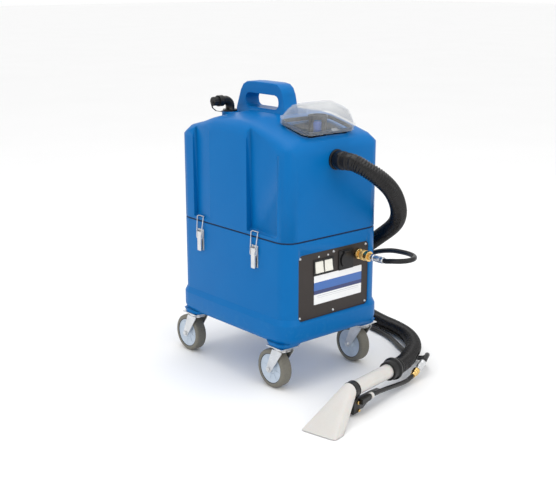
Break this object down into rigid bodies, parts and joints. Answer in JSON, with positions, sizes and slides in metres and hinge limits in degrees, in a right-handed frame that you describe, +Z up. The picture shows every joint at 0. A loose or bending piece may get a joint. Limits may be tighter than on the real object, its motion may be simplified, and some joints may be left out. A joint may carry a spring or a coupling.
{
  "type": "carpet cleaner machine",
  "caption": "Upright carpet extraction cleaner with tank, moulded handle, clear hinged lid, side latches, control panel, swivel casters, hose and upholstery hand tool.",
  "frame": {"origin": "on the floor, at the middle of the box round the machine and its hand tool, hoses left out", "axes": "+Z up; -Y is the front with the control panel; +X is to the right of someone who faces the back from the front"},
  "size_m": [0.8761, 1.0948, 0.74],
  "materials": {
    "moulded_blue": "fine moulded texture",
    "clear_lid": "clear moulded plastic",
    "panel_black": "fine grain",
    "hose_black": "corrugated, satin",
    "white_plastic": "smooth",
    "switch_cream": "smooth",
    "grey_plastic": "matt",
    "caster_wheel": "grey tread on a pale hub",
    "zinc_steel": "bright zinc",
    "motor_alloy": "cast",
    "brass": "turned",
    "seal_rubber": "matt",
    "float_blue": "smooth",
    "black_plastic": "satin"
  },
  "bodies": {
    "machine": {"base_housing": "moulded_blue", "caster_plate_front_left": "zinc_steel", "caster_plate_front_right": "zinc_steel", "caster_plate_rear_left": "zinc_steel", "caster_plate_rear_right": "zinc_steel", "chassis_plate": "zinc_steel", "control_panel": "panel_black", "coupler_body": "brass", "drain_elbow": "black_plastic", "float_cage": "black_plastic", "hose_cuff": "hose_black", "hose_port": "black_plastic", "latch_plate_front_left": "zinc_steel", "latch_plate_front_right": "zinc_steel", "latch_plate_rear_left": "zinc_steel", "latch_plate_rear_right": "zinc_steel", "lid_seal": "seal_rubber", "power_gland": "black_plastic", "power_socket": "black_plastic", "seam_gasket": "seal_rubber", "solution_ferrule": "zinc_steel", "solution_hose": "hose_black", "solution_pump": "grey_plastic", "switch_frame": "black_plastic", "tank": "moulded_blue", "vacuum_hose": "hose_black", "vacuum_motor": "motor_alloy"},
    "fork_front_left": {"caster_fork_front_left": "zinc_steel"},
    "wheel_front_left": {"caster_wheel_front_left": "caster_wheel"},
    "fork_rear_left": {"caster_fork_rear_left": "zinc_steel"},
    "wheel_rear_left": {"caster_wheel_rear_left": "caster_wheel"},
    "fork_front_right": {"caster_fork_front_right": "zinc_steel"},
    "wheel_front_right": {"caster_wheel_front_right": "caster_wheel"},
    "fork_rear_right": {"caster_fork_rear_right": "zinc_steel"},
    "wheel_rear_right": {"caster_wheel_rear_right": "caster_wheel"},
    "lever_rear_left": {"latch_lever_rear_left": "zinc_steel"},
    "bail_rear_left": {"latch_bail_rear_left": "zinc_steel"},
    "lever_front_left": {"latch_lever_front_left": "zinc_steel"},
    "bail_front_left": {"latch_bail_front_left": "zinc_steel"},
    "lever_rear_right": {"latch_lever_rear_right": "zinc_steel"},
    "bail_rear_right": {"latch_bail_rear_right": "zinc_steel"},
    "lever_front_right": {"latch_lever_front_right": "zinc_steel"},
    "bail_front_right": {"latch_bail_front_right": "zinc_steel"},
    "lid_body": {"lid": "clear_lid"},
    "float_body": {"float_ball": "float_blue"},
    "cap_body": {"drain_cap": "black_plastic"},
    "rocker_left_body": {"rocker_left": "switch_cream"},
    "rocker_right_body": {"rocker_right": "switch_cream"},
    "socket_lid_body": {"socket_lid": "black_plastic"},
    "sleeve_body": {"coupler_sleeve": "brass"},
    "hand_tool": {"tool_nozzle": "white_plastic", "tool_tube": "white_plastic", "tool_band": "black_plastic", "tool_collar": "black_plastic", "tool_valve": "black_plastic", "tool_pipe": "black_plastic", "tool_swivel": "brass", "tool_ferrule": "zinc_steel"},
    "trigger_body": {"trigger_lever": "grey_plastic"}
  },
  "joints": [
    {"name": "swivel_front_left", "type": "hinge", "parent": "machine", "child": "fork_front_left", "pos_m": [-0.0917, -0.0679, 0.105], "axis": [0, 0, 1], "continuous": true},
    {"name": "roll_front_left", "type": "hinge", "parent": "fork_front_left", "child": "wheel_front_left", "pos_m": [-0.0917, -0.0379, 0.05], "axis": [1, 0, 0], "continuous": true},
    {"name": "swivel_rear_left", "type": "hinge", "parent": "machine", "child": "fork_rear_left", "pos_m": [-0.0917, 0.2861, 0.105], "axis": [0, 0, 1], "continuous": true},
    {"name": "roll_rear_left", "type": "hinge", "parent": "fork_rear_left", "child": "wheel_rear_left", "pos_m": [-0.0917, 0.3161, 0.05], "axis": [1, 0, 0], "continuous": true},
    {"name": "swivel_front_right", "type": "hinge", "parent": "machine", "child": "fork_front_right", "pos_m": [0.1853, -0.0679, 0.105], "axis": [0, 0, 1], "continuous": true},
    {"name": "roll_front_right", "type": "hinge", "parent": "fork_front_right", "child": "wheel_front_right", "pos_m": [0.1853, -0.0379, 0.05], "axis": [1, 0, 0], "continuous": true},
    {"name": "swivel_rear_right", "type": "hinge", "parent": "machine", "child": "fork_rear_right", "pos_m": [0.1853, 0.2861, 0.105], "axis": [0, 0, 1], "continuous": true},
    {"name": "roll_rear_right", "type": "hinge", "parent": "fork_rear_right", "child": "wheel_rear_right", "pos_m": [0.1853, 0.3161, 0.05], "axis": [1, 0, 0], "continuous": true},
    {"name": "latch_rear_left", "type": "hinge", "parent": "machine", "child": "lever_rear_left", "pos_m": [-0.1197, 0.2311, 0.352], "axis": [0, 1, 0], "range_deg": [0, 150]},
    {"name": "bail_turn_rear_left", "type": "hinge", "parent": "lever_rear_left", "child": "bail_rear_left", "pos_m": [-0.12, 0.2311, 0.338], "axis": [0, 1, 0], "range_deg": [-170, 0]},
    {"name": "latch_front_left", "type": "hinge", "parent": "machine", "child": "lever_front_left", "pos_m": [-0.1197, 0.0101, 0.352], "axis": [0, 1, 0], "range_deg": [0, 150]},
    {"name": "bail_turn_front_left", "type": "hinge", "parent": "lever_front_left", "child": "bail_front_left", "pos_m": [-0.12, 0.0101, 0.338], "axis": [0, 1, 0], "range_deg": [-170, 0]},
    {"name": "latch_rear_right", "type": "hinge", "parent": "machine", "child": "lever_rear_right", "pos_m": [0.2133, 0.2311, 0.352], "axis": [0, -1, 0], "range_deg": [0, 150]},
    {"name": "bail_turn_rear_right", "type": "hinge", "parent": "lever_rear_right", "child": "bail_rear_right", "pos_m": [0.2136, 0.2311, 0.338], "axis": [0, -1, 0], "range_deg": [-170, 0]},
    {"name": "latch_front_right", "type": "hinge", "parent": "machine", "child": "lever_front_right", "pos_m": [0.2133, 0.0101, 0.352], "axis": [0, -1, 0], "range_deg": [0, 150]},
    {"name": "bail_turn_front_right", "type": "hinge", "parent": "lever_front_right", "child": "bail_front_right", "pos_m": [0.2136, 0.0101, 0.338], "axis": [0, -1, 0], "range_deg": [-170, 0]},
    {"name": "lid_hinge", "type": "hinge", "parent": "machine", "child": "lid_body", "pos_m": [0.0468, 0.01903, 0.66015], "axis": [-1, 0, 0], "range_deg": [0, 80]},
    {"name": "float_rise", "type": "slide", "parent": "machine", "child": "float_body", "axis": [0, 0, 1], "range_m": [0, 0.014]},
    {"name": "cap_turn", "type": "hinge", "parent": "machine", "child": "cap_body", "pos_m": [-0.0545, 0.2371, 0.69], "axis": [1, 0, 0], "range_deg": [0, 90]},
    {"name": "switch_left", "type": "hinge", "parent": "machine", "child": "rocker_left_body", "pos_m": [-0.0054, -0.1026, 0.3105], "axis": [1, 0, 0], "range_deg": [0, 15]},
    {"name": "switch_right", "type": "hinge", "parent": "machine", "child": "rocker_right_body", "pos_m": [0.0258, -0.1026, 0.3105], "axis": [1, 0, 0], "range_deg": [0, 15]},
    {"name": "socket_lid_hinge", "type": "hinge", "parent": "machine", "child": "socket_lid_body", "pos_m": [0.0868, -0.1101, 0.3365], "axis": [-1, 0, 0], "range_deg": [0, 100], "stiffness_Nm_per_rad": 0.01, "springref_deg": -17.19},
    {"name": "sleeve_pull", "type": "slide", "parent": "machine", "child": "sleeve_body", "axis": [0, 1, 0], "range_m": [0, 0.007], "stiffness_N_per_m": 300, "springref_m": -0.002},
    {"name": "hand_tool_lift", "type": "slide", "parent": "machine", "child": "hand_tool", "axis": [-0.1281, -0.5904, 0.7969], "range_m": [0, 0.12]},
    {"name": "trigger", "type": "hinge", "parent": "hand_tool", "child": "trigger_body", "pos_m": [-0.04234, -0.28547, 0.028], "axis": [0.2113, -0.9774, 0], "range_deg": [0, 8], "stiffness_Nm_per_rad": 0.2, "springref_deg": -5.73}
  ],
  "couplings": [
    {"joint": "bail_turn_rear_left", "follows": "latch_rear_left", "ratio": -1.1},
    {"joint": "bail_turn_front_left", "follows": "latch_front_left", "ratio": -1.1},
    {"joint": "bail_turn_rear_right", "follows": "latch_rear_right", "ratio": -1.1},
    {"joint": "bail_turn_front_right", "follows": "latch_front_right", "ratio": -1.1}
  ]
}
